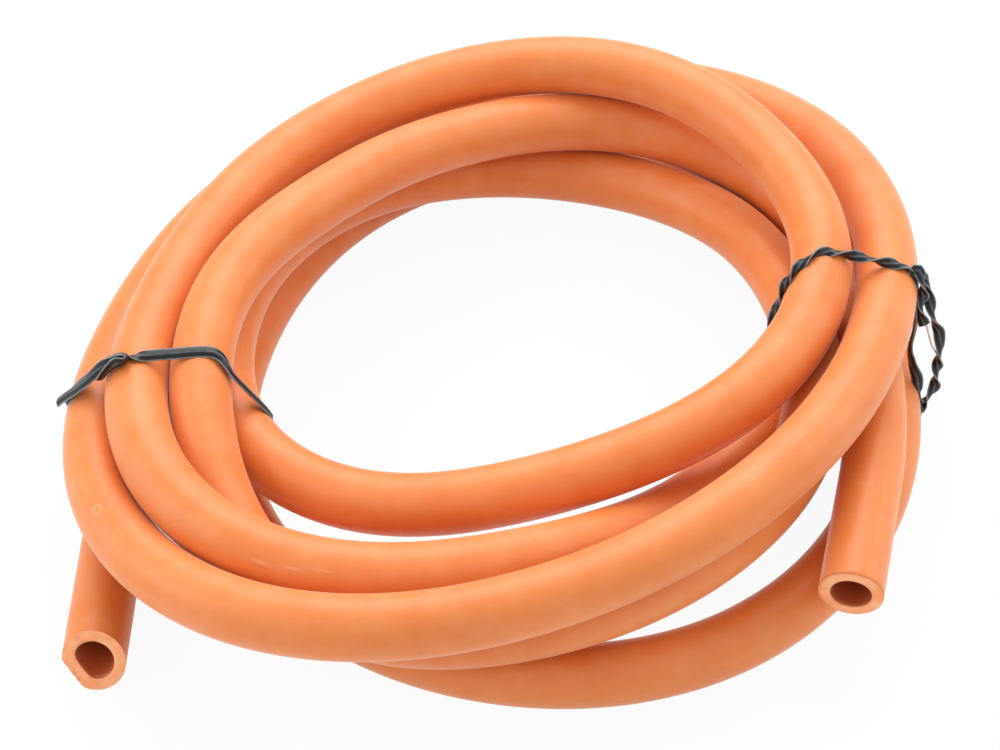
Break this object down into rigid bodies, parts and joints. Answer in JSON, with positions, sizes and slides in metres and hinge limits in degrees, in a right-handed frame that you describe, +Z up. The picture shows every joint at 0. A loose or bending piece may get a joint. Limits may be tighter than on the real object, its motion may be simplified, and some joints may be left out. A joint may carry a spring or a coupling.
{
  "type": "rubber gas tubing",
  "caption": "Loose coil of plain hollow orange rubber tubing for laboratory gas, with both cut ends free at the front, held by black plastic twist ties.",
  "frame": {"origin": "middle of the base of the coil and its ties, on the surface that it lies on", "axes": "+Z up, +X from the left end towards the right end, +Y to the back, away from the open ends"},
  "size_m": [0.1807, 0.1906, 0.0429],
  "materials": {
    "rubber": "matte, faintly dusty",
    "tie_plastic": "satin black"
  },
  "bodies": {
    "root": {"tubing": "rubber", "left_end": "rubber", "right_end": "rubber", "left_tie": "tie_plastic", "right_tie": "tie_plastic"}
  },
  "joints": []
}
